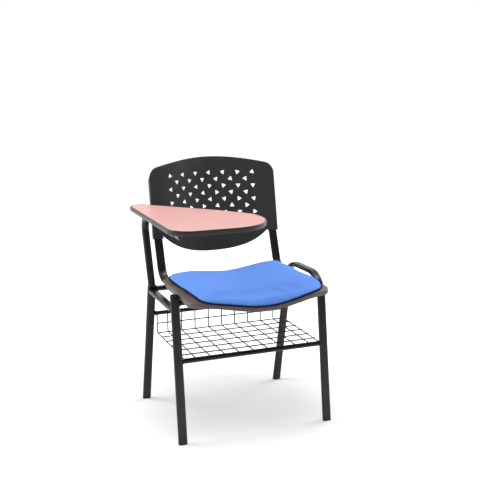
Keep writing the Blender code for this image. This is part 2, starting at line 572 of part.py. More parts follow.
# Tablet: a board with a laminate on it and a dark band round both
back_at = BACK_Y + RECLINE * (TABLET_Z - SOCKET_Z) - 6.6
rear_x = -BACK_HALF - (TABLET_REAR - back_at)
knee = Vector((TABLET_KNEE, back_at - TABLET_KNEE - BACK_HALF))
tablet_corners = [(TABLET_LEFT, TABLET_FRONT, 66.0), (TABLET_TIP, TABLET_FRONT, 145.0), (knee.x, knee.y, 400.0),
                  (rear_x, TABLET_REAR, 25.0), (TABLET_LEFT, TABLET_REAR, 30.0)]


WHOLE_SIDE = TABLET_REAR - TABLET_FRONT + TABLET_TIP


def level(inset, z):
    return [Vector((p.x, p.y, TABLET_Z + z)) for p in outline(tablet_corners, inset, 8, WHOLE_SIDE)]


band = ((BAND_T, 0.0), (1.0, 0.0), (0.0, 1.2), (0.0, TABLET_T - 1.2), (1.0, TABLET_T), (BAND_T, TABLET_T))
add("tablet_edge_band", loft([level(*p) for p in band], loop=True), "black plastic", "tablet")
edge, board_top = BAND_T + GAP, TABLET_T - LAMINATE_T - GAP
board = add("tablet_board", loft([level(edge, 0.0), level(edge, board_top)]), "plywood", "tablet")
add("tablet_laminate", loft([level(edge, board_top + GAP), level(edge, TABLET_T)]), "pink laminate", "tablet")

# Pivot sleeves: rings round the arm tube with flanges screwed up into the board
holes = []
under, ring_r = TABLET_Z - GAP - ARM_Z, ARM_R + 0.4 + SLEEVE_T
meet = math.asin((under - FLANGE_T) / ring_r)
arc = [meet - (math.pi + 2 * meet) * step / 18 for step in range(19)]
shape = [(FLANGE_HALF, under), (FLANGE_HALF, under - FLANGE_T)]
shape += [(ring_r * math.cos(a), ring_r * math.sin(a)) for a in arc]
shape += [(-FLANGE_HALF, under - FLANGE_T), (-FLANGE_HALF, under)]
for place, y in zip(("front", "rear"), SLEEVE_Y):
    rings = [[Vector((ARM_X + a, y + d, ARM_Z + b)) for a, b in shape] for d in (-SLEEVE_LONG / 2, SLEEVE_LONG / 2)]
    sleeve = add(place + "_pivot_sleeve", loft(rings), "black enamel", "tablet")
    bores = [(Vector((ARM_X, y - SLEEVE_LONG, ARM_Z)), BACKWARD, ARM_R + 0.4, 2 * SLEEVE_LONG, 24)]
    for side, x in (("outer", ARM_X - FLANGE_HALF + 4.5), ("inner", ARM_X + FLANGE_HALF - 4.5)):
        seat = Vector((x, y, ARM_Z + under - FLANGE_T - GAP))
        screw(place + "_" + side + "_sleeve_screw", seat, UP, FLANGE_T + GAP + 10.0, "tablet")
        bores.append((seat - UP * 2, UP, SCREW_R + GAP, 8, 12))
        holes.append((seat, UP, SCREW_R + GAP, FLANGE_T + GAP + 10.5, 12))
    drill(sleeve, bores, "tablet")
drill(board, holes, "tablet")
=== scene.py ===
import math

import bmesh
import bpy
import numpy as np
from mathutils import Matrix, Vector, geometry


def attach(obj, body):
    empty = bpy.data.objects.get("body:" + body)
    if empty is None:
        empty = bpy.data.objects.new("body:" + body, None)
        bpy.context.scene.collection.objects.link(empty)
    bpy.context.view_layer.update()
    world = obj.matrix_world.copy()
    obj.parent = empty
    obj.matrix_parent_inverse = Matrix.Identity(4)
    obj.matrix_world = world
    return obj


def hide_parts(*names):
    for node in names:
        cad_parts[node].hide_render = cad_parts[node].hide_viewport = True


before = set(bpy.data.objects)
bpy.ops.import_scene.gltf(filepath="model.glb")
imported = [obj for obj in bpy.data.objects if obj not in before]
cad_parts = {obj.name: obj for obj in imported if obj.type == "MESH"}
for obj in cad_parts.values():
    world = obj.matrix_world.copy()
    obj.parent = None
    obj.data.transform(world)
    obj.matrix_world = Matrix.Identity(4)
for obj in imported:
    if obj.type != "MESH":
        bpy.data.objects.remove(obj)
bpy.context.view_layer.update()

# Frame tubes. Flat oval steel tube, 30 by 15 mm, bent cold and welded into one frame: a loop over
# both right legs, two left legs with a rail between them, two cross rails and two L uprights.
# The whole frame is sprayed in a satin black enamel with a slight orange peel.
MM = 0.001
MIDDLE = Vector((-19.5, 21.1845, 0.0))  # floor point under the middle of the chair's box, in mm
ACROSS, BACKWARD, UP = Vector((1, 0, 0)), Vector((0, 1, 0)), Vector((0, 0, 1))
TUBE_WIDE, TUBE_DEEP, TUBE_WALL = 30.0, 15.0, 1.5
GAP = 0.3  # between pieces that are fixed to each other
INNER_HALF = 242.0  # from the middle of the chair to the inner side of a leg
LEG_X = INNER_HALF + TUBE_WIDE / 2
FLOOR_CLEAR = 4.0  # height of the cut tube ends, on their feet
ORANGE_PEEL, PEEL_RISE = 0.0035, 0.000025  # width and height of the enamel's ripple, in metres


def nodes_of(name):
    material = bpy.data.materials.new(name)
    material.use_nodes = True
    tree = material.node_tree
    return material, tree, tree.nodes["Principled BSDF"]


def node(tree, kind, inputs=None, **settings):
    made = tree.nodes.new("ShaderNode" + kind)
    for key, value in settings.items():
        setattr(made, key, value)
    for key, value in (inputs or {}).items():
        if isinstance(value, bpy.types.NodeSocket):
            tree.links.new(value, made.inputs[key])
        else:
            made.inputs[key].default_value = value
    return made


# Noise at a size in metres, stretched between two values
def mottle(tree, size, low, high, detail=3.0, stretch=(1, 1, 1)):
    where = node(tree, "TexCoord").outputs["Object"]
    scaled = node(tree, "Mapping", {"Vector": where, "Scale": stretch}).outputs["Vector"]
    noise = node(tree, "TexNoise", {"Vector": scaled, "Scale": 1.0 / size, "Detail": detail})
    spread = {"Value": noise.outputs["Fac"], "From Min": 0.3, "From Max": 0.7, "To Min": low, "To Max": high}
    return node(tree, "MapRange", spread).outputs["Result"]


def between(tree, share, first, second):
    mix = node(tree, "Mix", data_type="RGBA")
    tree.links.new(share, mix.inputs[0])
    mix.inputs[6].default_value, mix.inputs[7].default_value = (*first, 1.0), (*second, 1.0)
    return mix.outputs[2]


# Puts a colour, a roughness and the height of a surface into a shader
def dress(tree, shader, colour, rough, height, rise):
    tree.links.new(colour, shader.inputs["Base Color"])
    tree.links.new(rough, shader.inputs["Roughness"])
    bump = node(tree, "Bump", {"Height": height, "Distance": rise, "Strength": 1.0})
    tree.links.new(bump.outputs["Normal"], shader.inputs["Normal"])


def enamel_finish(name, dark, light, rough, gloss):
    material, tree, shader = nodes_of(name)
    colour = between(tree, mottle(tree, 0.035, 0.0, 1.0, 5.0), dark, light)
    polish = mottle(tree, 0.012, rough - 0.03, rough + 0.05)
    dress(tree, shader, colour, polish, mottle(tree, ORANGE_PEEL, 0.0, 1.0, 2.0), PEEL_RISE)
    shader.inputs["Specular IOR Level"].default_value = gloss
    return material


enamel = enamel_finish("black_enamel_satin", (0.0085, 0.0074, 0.0068), (0.0150, 0.0133, 0.0123), 0.20, 0.34)


# A piece from points in millimetres of the chair, smooth but for its sharp edges
def piece(name, shape, finish, stands_for=(), body="frame", sharp=40.0):
    points, faces = shape
    mesh = bpy.data.meshes.new(name)
    mesh.from_pydata([(Vector(p) - MIDDLE) * MM for p in points], [], faces)
    build = bmesh.new()
    build.from_mesh(mesh)
    bmesh.ops.recalc_face_normals(build, faces=build.faces)
    build.to_mesh(mesh)
    build.free()
    mesh.shade_smooth()
    mesh.set_sharp_from_angle(angle=math.radians(sharp))
    mesh.materials.append(finish)
    item = bpy.data.objects.new(name, mesh)
    bpy.context.collection.objects.link(item)
    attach(item, body)
    if stands_for:
        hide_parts(*stands_for)
    return item


# Rings of points joined into a closed skin
def loft(rings, loop=False):
    count, faces = len(rings[0]), []
    for i in range(len(rings) if loop else len(rings) - 1):
        a, b = i * count, (i + 1) % len(rings) * count
        faces += [(a + j, a + (j + 1) % count, b + (j + 1) % count, b + j) for j in range(count)]
    points = [p for ring in rings for p in ring]
    if not loop:
        faces += [tuple(reversed(range(count))), tuple(range(len(points) - count, len(points)))]
    return points, faces


def oval(inset=0.0, steps=12):
    reach, radius = (TUBE_WIDE - TUBE_DEEP) / 2, TUBE_DEEP / 2 - inset
    angles = [math.pi * (step / steps - 0.5) for step in range(steps + 1)]
    half = [(reach + radius * math.cos(a), radius * math.sin(a)) for a in angles]
    return half + [(-wide, -deep) for wide, deep in half]


# Line through corners, the inner ones bent to the radii given, in small steps
def bent(corners, radii, steps=24):
    corners = [Vector(c) for c in corners]
    line = [corners[0]]
    for before, corner, after, radius in zip(corners, corners[1:], corners[2:], radii):
        a, b = (before - corner).normalized(), (after - corner).normalized()
        half = a.angle(b) / 2
        centre = corner + (a + b).normalized() * radius / math.sin(half)
        arm, turn = corner + a * radius / math.tan(half) - centre, (math.pi - 2 * half) / steps
        line += [centre + Matrix.Rotation(turn * i, 3, b.cross(a)) @ arm for i in range(steps + 1)]
    return line + [corners[-1]]


# A section carried along a line, its ends cut on planes with the normals given
def carried(line, wide, section, start=None, end=None):
    rings, line = [], [Vector(p) for p in line]
    for i, point in enumerate(line):
        ahead = (line[min(i + 1, len(line) - 1)] - point).normalized()
        behind = (point - line[max(i - 1, 0)]).normalized()
        along = (ahead + behind).normalized()
        deep = along.cross(wide).normalized()
        side = deep.cross(along)
        ring = [point + side * a + deep * b for a, b in section]
        cut = start if i == 0 else end if i == len(line) - 1 else None
        if cut:
            ring = [p - along * ((p - point).dot(cut) / along.dot(cut)) for p in ring]
        rings.append(ring)
    return rings


# A tube with its bore, so that an open end shows the wall
def tube(line, wide, section, bore, start=None, end=None):
    outside, inside = (carried(line, wide, shape, start, end) for shape in (section, bore))
    return loft(outside + inside[::-1], loop=True)


def frame_tube(node_name, line, wide, start=None, end=None):
    shape = tube(line, wide, oval(), oval(TUBE_WALL), start, end)
    piece(node_name + "_tube", shape, enamel, [node_name])


FRONT_FOOT_Y, FRONT_LEAN = -163.0, 0.140
REAR_FOOT_Y, REAR_LEAN = 257.0, -0.220


def front_leg(z, x=LEG_X):
    return Vector((x, FRONT_FOOT_Y + FRONT_LEAN * z, z))


def rear_leg(z, x=LEG_X):
    return Vector((x, REAR_FOOT_Y + REAR_LEAN * z, z))


LOOP_FRONT_Z, LOOP_REAR_Z, LOOP_BEND = 493.0, 488.0, 80.0
loop_corners = [front_leg(FLOOR_CLEAR), front_leg(LOOP_FRONT_Z), rear_leg(LOOP_REAR_Z), rear_leg(FLOOR_CLEAR)]
frame_tube("right_leg_hoop", bent(loop_corners, (LOOP_BEND, LOOP_BEND)), ACROSS, UP, UP)

STUB_Z, POST_Z = 473.7, 444.7  # tops of the left front and rear legs
for leg_name, leg, top in (("left_front_leg", front_leg, STUB_Z), ("left_rear_leg", rear_leg, POST_Z)):
    frame_tube(leg_name, [leg(FLOOR_CLEAR, -LEG_X), leg(top, -LEG_X)], ACROSS, UP, UP)

SIDE_RAIL_Z, FRONT_SETBACK, REAR_SETBACK = 426.2, 7.9, 8.0  # its ends lie this far from the legs' middles
rail_ends = [front_leg(SIDE_RAIL_Z, -LEG_X) + BACKWARD * FRONT_SETBACK,
             rear_leg(SIDE_RAIL_Z, -LEG_X) - BACKWARD * REAR_SETBACK]
rail_cuts = [Vector((0, 1, -FRONT_LEAN)), Vector((0, 1, -REAR_LEAN))]
frame_tube("left_side_rail", rail_ends, ACROSS, *rail_cuts)

FRONT_RAIL, REAR_RAIL = Vector((0, -93.0, 449.2)), Vector((0, 160.0, 433.2))
RAIL_HALF = INNER_HALF - GAP


def from_leg_to_leg(at):
    return [at - ACROSS * RAIL_HALF, at + ACROSS * RAIL_HALF]


frame_tube("front_cross_rail", from_leg_to_leg(FRONT_RAIL), BACKWARD)
frame_tube("rear_cross_rail", from_leg_to_leg(REAR_RAIL), BACKWARD)

UPRIGHT_X, UPRIGHT_Z, UPRIGHT_FRONT_Y, UPRIGHT_LEAN = 215.5, 464.5, -118.0, 0.38
SOCKET_Z, SOCKET_Y, SOCKET_DEEP, RECLINE = 596.0, 213.9, 188.0, 0.205
KNEE_Z, SEAT_BEND, KNEE_BEND = SOCKET_Z + 10.0, 62.0, 120.0
UPRIGHT_TOP = SOCKET_Z + SOCKET_DEEP - 4.0
UPRIGHTS = (("left", -UPRIGHT_X), ("right", UPRIGHT_X))


# Level under the seat, then up to a knee in the socket, then along the slope of the backrest
def upright_line(x, top):
    knee, end = (SOCKET_Y + RECLINE * (z - SOCKET_Z) for z in (KNEE_Z, top))
    foot = knee - UPRIGHT_LEAN * (KNEE_Z - UPRIGHT_Z)
    corners = [(x, UPRIGHT_FRONT_Y, UPRIGHT_Z), (x, foot, UPRIGHT_Z), (x, knee, KNEE_Z), (x, end, top)]
    return bent(corners, (SEAT_BEND, KNEE_BEND))


for side, x in UPRIGHTS:
    frame_tube(side + "_back_upright", upright_line(x, UPRIGHT_TOP), ACROSS, None, UP)


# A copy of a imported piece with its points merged, smooth but for sharp edges, and its edges broken
def smoothed(node_name, new_name, finish, body="frame", round_off=0.0):
    sharp, flat = math.radians(32.0), math.radians(0.5)
    item = bpy.data.objects.new(new_name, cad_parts[node_name].data.copy())
    bpy.context.collection.objects.link(item)
    build = bmesh.new()
    build.from_mesh(item.data)
    bmesh.ops.remove_doubles(build, verts=build.verts, dist=1e-6)
    bmesh.ops.dissolve_limit(build, angle_limit=flat, verts=build.verts, edges=build.edges)
    build.to_mesh(item.data)
    build.free()
    if item.data.attributes.get("custom_normal"):
        item.data.attributes.remove(item.data.attributes["custom_normal"])
    item.data.shade_smooth()
    item.data.set_sharp_from_angle(angle=sharp)
    item.data.materials.clear()
    item.data.materials.append(finish)
    if round_off:
        edge = item.modifiers.new("broken edges", "BEVEL")
        edge.width, edge.segments, edge.limit_method = round_off, 2, "ANGLE"
        edge.angle_limit, edge.harden_normals = sharp, True
    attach(item, body)
    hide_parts(node_name)


for side in ("left", "right"):
    smoothed(side + "_seat_strut", side + "_seat_strut_bar", enamel, round_off=0.0006)

# Feet, caps and plugs. Moulded black plastic, pushed into the cut ends of the tubes: a glide under
# each leg, a domed cap on the free top of the left front leg and a plug in front of each upright.
IN_TUBE = 1.9  # inset of a stem that fills the bore
STEM_TIP = IN_TUBE + 1


def plastic_finish(name, dark, light, rough, grain, rise):
    material, tree, shader = nodes_of(name)
    colour = between(tree, mottle(tree, 0.05, 0.0, 1.0, 6.0), dark, light)
    polish = mottle(tree, 0.02, rough - 0.05, rough + 0.07)
    dress(tree, shader, colour, polish, mottle(tree, grain, 0.0, 1.0, 1.0), rise)
    shader.inputs["Specular IOR Level"].default_value = 0.38
    return material


glide_plastic = plastic_finish("black_plastic_glides", (0.011, 0.010, 0.010), (0.019, 0.017, 0.016),
                               0.46, 0.0009, 0.00005)


# Sections of the tube strung out from a point, each with its inset
def stopper(node_name, new_name, base, along, stages, cut=None):
    rings = []
    for far, inset in stages:
        pair = [base + along * far, base + along * (far + 1.0)]
        rings += carried(pair, ACROSS, oval(inset), cut)[:1]
    piece(new_name, loft(rings), glide_plastic, [node_name], sharp=50.0)


foot_stages = [(0, 0.9), (0.3, 0.35), (0.9, 0), (2.6, 0), (3.3, 0.15), (3.7, 0.6), (3.7, IN_TUBE),
               (21, IN_TUBE), (23, STEM_TIP)]
for foot, leg, x in (("left_front_foot", front_leg, -LEG_X), ("left_rear_foot", rear_leg, -LEG_X),
                     ("right_front_foot", front_leg, LEG_X), ("right_rear_foot", rear_leg, LEG_X)):
    stopper(foot, foot + "_glide", leg(0.0, x), leg(1.0, x) - leg(0.0, x), foot_stages, UP)
cap_stages = [(-16, IN_TUBE), (0.3, IN_TUBE), (0.3, 0.1), (1.2, 0), (2.4, 0.3), (3.5, 0.95), (4.4, 1.9),
              (5.2, 3.2), (5.7, 4.5), (5.9, 5.8)]
stopper("left_front_leg_cap", "left_front_leg_dome", front_leg(STUB_Z, -LEG_X),
        front_leg(1.0) - front_leg(0.0), cap_stages, UP)
plug_stages = [(-3.6, 2.2), (-3.4, 1.2), (-2.8, 0.3), (-2.0, 0), (-0.3, 0), (-0.3, IN_TUBE), (14, IN_TUBE),
               (16, STEM_TIP)]
for side, x in UPRIGHTS:
    front_end = Vector((x, UPRIGHT_FRONT_Y, UPRIGHT_Z))
    stopper(side + "_upright_plug", side + "_upright_end", front_end, BACKWARD, plug_stages)

# Book basket. Round drawn wire of 4 mm in a 50 mm mesh, each crossing resistance welded, bent up into
# a short wall behind and welded on two round bars between the legs; sprayed with the frame.
BAR_R, BAR_WALL = 7.0, 1.2
BAR_FRONT, BAR_REAR = Vector((0, -125.0, 263.0)), Vector((0, 176.0, 340.0))
WIRE_R, MESH, BASKET_BEND = 2.0, 50.0, 8.0
FRONT_END = 4.0  # how far the wires reach past the middle of the front bar
PRESSED, PAST_SIDE = 1.2, 1.6  # how deep a cross wire sinks into the others, and how far it runs past
LAST_ROW, WALL_ROW = 13.0, 34.0  # cross wires next to the bend, from the wall and from the floor
THIN_SIDES = 10  # of a thin round section


def circle(radius, sides=24):
    turns = [2 * math.pi * (i + 0.5) / sides for i in range(sides)]
    return [(radius * math.cos(a), radius * math.sin(a)) for a in turns]


def together(shapes):
    points, faces = [], []
    for more_points, more_faces in shapes:
        faces += [tuple(len(points) + i for i in face) for face in more_faces]
        points += list(more_points)
    return points, faces


for bar, at in (("basket_front_bar", BAR_FRONT), ("basket_rear_bar", BAR_REAR)):
    shape = tube(from_leg_to_leg(at), UP, circle(BAR_R), circle(BAR_R - BAR_WALL))
    piece(bar + "_tube", shape, enamel, [bar])

floor_z, wall_y = BAR_FRONT.z + BAR_R + GAP + WIRE_R, BAR_REAR.y - BAR_R - GAP - WIRE_R
wall_top, side_x = BAR_REAR.z + BAR_R, INNER_HALF - 2.0 - WIRE_R
wire_corners = [(BAR_FRONT.y - FRONT_END, floor_z), (wall_y, floor_z), (wall_y, wall_top + WIRE_R)]
wires = []
for x in [-side_x] + [MESH * i for i in range(-4, 5)] + [side_x]:
    line = bent([(x, y, z) for y, z in wire_corners], (BASKET_BEND,), steps=8)
    wires.append(loft(carried(line, ACROSS, circle(WIRE_R, THIN_SIDES))))
# The cross wires lie on the others, and the first of them closes their front ends
over = 2 * WIRE_R - PRESSED
cross_at = [wire_corners[0]] + [(wall_y - LAST_ROW - MESH * i, floor_z + over) for i in range(6)]
cross_at += [(wall_y - over, floor_z + WALL_ROW), (wall_y - over, wall_top)]
for y, z in cross_at:
    line = [Vector((-side_x - PAST_SIDE, y, z)), Vector((side_x + PAST_SIDE, y, z))]
    wires.append(loft(carried(line, UP, circle(WIRE_R, THIN_SIDES))))
wire_enamel = enamel_finish("black_enamel_wire", (0.0070, 0.0064, 0.0060), (0.0120, 0.0110, 0.0104),
                            0.42, 0.16)
piece("book_basket_wires", together(wires), wire_enamel, ["book_basket"])

# Seat shell. Injection moulded polypropylene, 4.5 mm, dished for the sitter, its front rolled down
# and its rim turned under into a lip; four screws from below hold it to the uprights.
SEAT_Z, SEAT_T, SEAT_FRONT, SEAT_STEP, SEAT_REAR = 477.2, 4.5, -242.0, 105.0, 150.0
SEAT_HALF, SEAT_FLARE, SEAT_REAR_HALF = 238.0, 5.0, 196.5
SEAT_DISH, SEAT_SLOPE, SEAT_FALL, FALL_FROM = 15.4, 0.012, 8.5, -100.0
LIP, LIP_WALL, LIP_END, LIP_FADE = 16.3, 4.0, SEAT_STEP - 18.0, 40.0
LIP_LEAST = 0.3  # what is left of the lip where it has faded out
SEAT_MIDDLE = Vector((0.0, -35.0))


# How deep the seat is dished across, from 1 in the middle to 0 at the sides
def dished(x):
    return 0.5 * (1 + math.cos(math.pi * min(1.0, abs(x) / (SEAT_REAR_HALF + 1.0))))


def seat_height(x, y):
    fall = max(0.0, FALL_FROM - y) / (FALL_FROM - SEAT_FRONT)
    dish = SEAT_DISH + SEAT_SLOPE * abs(y - FRONT_RAIL.y)
    return SEAT_Z - dish * dished(x) - SEAT_FALL * fall ** 2


# Outline through corners given as x, y and radius, moved in by an inset, in short lengths
def outline(corners, inset=0.0, steps=10, spacing=14.0):
    arcs = []
    for i, (x, y, radius) in enumerate(corners):
        before, after = Vector(corners[i - 1][:2]), Vector(corners[(i + 1) % len(corners)][:2])
        corner = Vector((x, y))
        arrive, leave = (corner - before).normalized(), (after - corner).normalized()
        turn = math.atan2(arrive.x * leave.y - arrive.y * leave.x, arrive.dot(leave))
        side = 1 if turn > 0 else -1
        inward = Vector((-arrive.y, arrive.x)) * side
        centre = corner - arrive * radius * math.tan(abs(turn) / 2) + inward * radius
        first = math.atan2(-inward.y, -inward.x)
        count = max(steps, math.ceil(radius * abs(turn) / spacing))
        reach = radius - side * inset
        angles = [first + turn * step / count for step in range(count + 1)]
        arcs.append([centre + reach * Vector((math.cos(a), math.sin(a))) for a in angles])
    points = []
    for arc, after in zip(arcs, arcs[1:] + arcs[:1]):
        parts = max(1, math.ceil((after[0] - arc[-1]).length / spacing - 0.001))
        points += arc + [arc[-1].lerp(after[0], part / parts) for part in range(1, parts)]
    return points


def both_sides(half):
    return half + [(-x, y, radius) for x, y, radius in reversed(half) if x > 0]


# A ring of points at a height over the seat, which may fill the dish a little
def seat_ring(points, height, fill=0.0):
    return [Vector((p.x, p.y, seat_height(p.x, p.y) + height + fill * dished(p.x))) for p in points]


# Rings that close a face towards the seat's middle, where it may rise to a crown
def shrinking(points, height, crown=0.0, fill=0.0):
    rings = []
    for scale in (0.94, 0.86, 0.77, 0.67, 0.57, 0.46, 0.34, 0.21, 0.08):
        inner = [SEAT_MIDDLE + (p - SEAT_MIDDLE) * scale for p in points]
        rings.append(seat_ring(inner, height + crown * (1 - scale ** 2), fill))
    return rings


# 0 up to a start, then rising to 1 over a length
def ramp(value, start, length):
    return max(0.0, min(1.0, (value - start) / length))


# A ring on the lip, which is full at the front and sides and fades out before the step
def lip_ring(points, full):
    ring = []
    for p in points:
        drop = SEAT_T + LIP_LEAST + (full - SEAT_T) * ramp(LIP_END - p.y, 0.0, LIP_FADE)
        ring.append(Vector((p.x, p.y, seat_height(p.x, p.y) - drop)))
    return ring


# Bowed front, front corner, the step beside the upright and the rear corner
seat_corners = both_sides([(0.0, SEAT_FRONT - 17.0, 600.0), (SEAT_HALF + SEAT_FLARE, SEAT_FRONT + 42.0, 36.0),
                           (SEAT_HALF, SEAT_STEP - 3.0, 8.0), (SEAT_REAR_HALF, SEAT_STEP + 3.0, 8.0),
                           (SEAT_REAR_HALF, SEAT_REAR, 35.0)])
face = outline(seat_corners, 7.0)
rounded_rim = ((2.2, -0.1), (1.1, -0.5), (0.4, -1.3), (0.0, -2.6))
lip_edge = ((0.0, LIP - 1.2), (0.4, LIP - 0.4), (1.1, LIP), (LIP_WALL - 0.5, LIP), (LIP_WALL, LIP - 0.6))
rings = shrinking(face, 0.0)[::-1] + [seat_ring(face, 0.0)]
rings += [seat_ring(outline(seat_corners, inset), height) for inset, height in rounded_rim]
rings += [lip_ring(outline(seat_corners, inset), full) for inset, full in lip_edge]
rings += [seat_ring(outline(seat_corners, LIP_WALL), -SEAT_T), seat_ring(face, -SEAT_T)]
rings += shrinking(face, -SEAT_T)
seat_plastic = plastic_finish("grey_brown_seat_plastic", (0.092, 0.074, 0.066), (0.136, 0.112, 0.100),
                              0.50, 0.0011, 0.00006)
piece("seat_moulding", loft(rings), seat_plastic, ["seat_shell"], sharp=70.0)

# Rim rivets. Low steel heads, a little rusted, that show on the seat beside the cushion over each
# upright, two on a side; those on the right lie under the cushion's edge.
RIVET_X, RIVET_Y = 218.5, (30.0, -87.0)
rust, tree, shader = nodes_of("rusted_rivet_steel")
blotches = between(tree, mottle(tree, 0.003, 0.0, 1.0), (0.030, 0.016, 0.012), (0.072, 0.036, 0.026))
dress(tree, shader, blotches, mottle(tree, 0.002, 0.45, 0.7), mottle(tree, 0.0008, 0.0, 1.0), 0.00006)
shader.inputs["Metallic"].default_value = 0.4


# A round profile, given as height and radius, turned about an axis
def turned(base, axis, profile, sides=32):
    axis = Vector(axis).normalized()
    wide = axis.orthogonal().normalized()
    deep = axis.cross(wide)
    return loft([[Vector(base) + axis * far + wide * a + deep * b for a, b in circle(radius, sides)]
                 for far, radius in profile])


rivet_head = [(-0.6, 4.6), (0.1, 4.6), (0.5, 4.3), (0.9, 3.6), (1.2, 2.4), (1.35, 1.0)]
heads = [turned((x, y, seat_height(x, y)), UP, rivet_head, 24) for x in (-RIVET_X, RIVET_X) for y in RIVET_Y]
piece("seat_rim_rivets", together(heads), rust, sharp=60.0)

# Seat cushion. Foam on a thin board, covered in a woven blue polyester that is pulled round the
# board's edge; a dark welt is left between it and the shell, its near-black navy partly a painted
# shade of the gap there, and screws from below hold the board.
chipboard, tree, shader = nodes_of("raw_chipboard")
chips = mottle(tree, 0.004, 0.0, 1.0, 3.0, (1.0, 0.45, 1.0))
brown = between(tree, chips, (0.36, 0.235, 0.130), (0.60, 0.43, 0.265))
dress(tree, shader, brown, mottle(tree, 0.006, 0.65, 0.8), chips, 0.0001)
smoothed("cushion_board", "cushion_backing_board", chipboard)

THREAD, WEAVE_RISE = 0.0016, 0.00025  # in metres
fabric, tree, shader = nodes_of("blue_woven_fabric")
split = node(tree, "SeparateXYZ", {"Vector": node(tree, "TexCoord").outputs["Object"]})


def thread(axis):
    turns = node(tree, "Math", {0: split.outputs[axis], 1: 2 * math.pi / THREAD}, operation="MULTIPLY")
    return node(tree, "Math", {0: turns.outputs[0]}, operation="SINE").outputs[0]


crossing = node(tree, "Math", {0: thread("X"), 1: thread("Y")}, operation="MULTIPLY").outputs[0]
weave = node(tree, "MapRange", {"Value": crossing, "From Min": -1.0, "From Max": 1.0}).outputs["Result"]
faint = node(tree, "Math", {0: weave, 1: 0.25}, operation="MULTIPLY").outputs[0]
tint = node(tree, "Math", {0: faint, 1: mottle(tree, 0.03, 0.2, 0.55, 5.0)}, operation="ADD").outputs[0]
blue = between(tree, tint, (0.130, 0.308, 0.890), (0.164, 0.356, 0.965))
dress(tree, shader, blue, mottle(tree, 0.01, 0.82, 0.95), weave, WEAVE_RISE)
shader.inputs["Sheen Weight"].default_value = 0.40
shader.inputs["Sheen Roughness"].default_value = 0.45
shader.inputs["Sheen Tint"].default_value = (0.25, 0.45, 1.0, 1.0)
shader.inputs["Specular IOR Level"].default_value = 0.06

PAD_HALF, PAD_RIM, PAD_T, PAD_FILL, PAD_GAP = SEAT_HALF - 16.0, 13.5, 25.0, 6.0, 1.4
PAD_SHIFT, PAD_TURN = Vector((6.0, 0.0)), Matrix.Rotation(math.radians(3.4), 2)
DRAWN_IN, DRAWN_CORNER, DRAWN_WAY, DRAWN_REACH = 11.0, Vector((208.0, -192.0)), Vector((-0.75, 0.66)), 50.0
RIDE, RIDE_FROM, RIDE_OVER = 4.5, Vector((-30.0, 10.0)), Vector((180.0, 100.0))
RIDE_HEIGHT = 12.0  # over which a side comes to ride up in full
SHOULDER, SHOULDER_IN = PAD_RIM * 1.4, 12.0
RECESS, RECESS_IN = 5.5, 10.5  # hollow underside, over the board
NONE_SHARP = 180.0
pad_corners = both_sides([(0.0, SEAT_FRONT - 31.0, 624.0), (PAD_HALF, SEAT_FRONT + 35.0, 60.0),
                          (PAD_HALF, SEAT_STEP - 45.0, 150.0),
                          (SEAT_REAR_HALF + 11.0, SEAT_REAR - 8.0, 40.0)])


# The pad lies a little to the right and turned, and its front right corner is drawn in
def pad_outline(inset):
    points = []
    for p in outline(pad_corners, inset):
        drawn = DRAWN_IN * math.exp(-((p - DRAWN_CORNER).length / DRAWN_REACH) ** 2)
        points.append(PAD_TURN @ (p + DRAWN_WAY * drawn) + PAD_SHIFT)
    return points


# The pad rides up a little at its right rear corner, more at its top than where it lies on the seat
def ridden_up(ring):
    raised = []
    for p in ring:
        share = ramp(p.x, RIDE_FROM.x, RIDE_OVER.x) * ramp(p.y, RIDE_FROM.y, RIDE_OVER.y)
        above = ramp(p.z - seat_height(p.x, p.y), PAD_GAP, RIDE_HEIGHT)
        raised.append(p + UP * (RIDE * share * above))
    return raised


rings = shrinking(pad_outline(RECESS_IN), RECESS)[::-1] + [seat_ring(pad_outline(RECESS_IN), RECESS)]
side_profile = ((RECESS_IN, PAD_GAP), (3.5, PAD_GAP), (1.5, PAD_RIM * 0.22), (1.0, PAD_RIM * 0.44),
                (1.8, PAD_RIM * 0.70), (4.6, PAD_RIM), (SHOULDER_IN, SHOULDER))
for inset, height in side_profile:
    rings.append(seat_ring(pad_outline(inset), height, PAD_FILL * (height / SHOULDER) ** 2))
rings += shrinking(pad_outline(SHOULDER_IN), SHOULDER, PAD_T - SHOULDER, PAD_FILL)
pad = loft([ridden_up(ring) for ring in rings])
cushion = piece("seat_cushion_pad", pad, fabric, ["seat_cushion"], sharp=NONE_SHARP)


# The skin as its modifiers leave it, kept as the mesh itself
def settle(item):
    evaluated = item.evaluated_get(bpy.context.evaluated_depsgraph_get())
    mesh = bpy.data.meshes.new_from_object(evaluated)
    item.modifiers.clear()
    item.data = mesh
    mesh.shade_smooth()


net = cushion.modifiers.new("even net", "REMESH")
net.mode, net.voxel_size = "VOXEL", 0.0055
settle(cushion)
# The foam pushes the cover out over its lower edge, which is held to the board
HELD_UP_TO, PRESSURE, LAST_STEP, MOST_SWELL = 5.0, 4.0, 20, 0.005
before = [v.co.copy() for v in cushion.data.vertices]
held, free = (cushion.vertex_groups.new(name=name) for name in ("held to the board", "free cover"))
for v in cushion.data.vertices:
    spot = v.co / MM + MIDDLE
    at_board = v.normal.z < -0.2 or spot.z - seat_height(spot.x, spot.y) < HELD_UP_TO
    (held if at_board else free).add([v.index], 1.0, "REPLACE")
cover = cushion.modifiers.new("stuffed cover", "CLOTH")
cover.settings.vertex_group_mass = held.name
cover.settings.use_pressure, cover.settings.uniform_pressure_force = True, PRESSURE
cover.settings.effector_weights.gravity = 0.0
cover.point_cache.frame_start, cover.point_cache.frame_end = 1, LAST_STEP
for step in range(1, LAST_STEP + 1):
    bpy.context.scene.frame_set(step)
settle(cushion)
bpy.context.scene.frame_set(1)
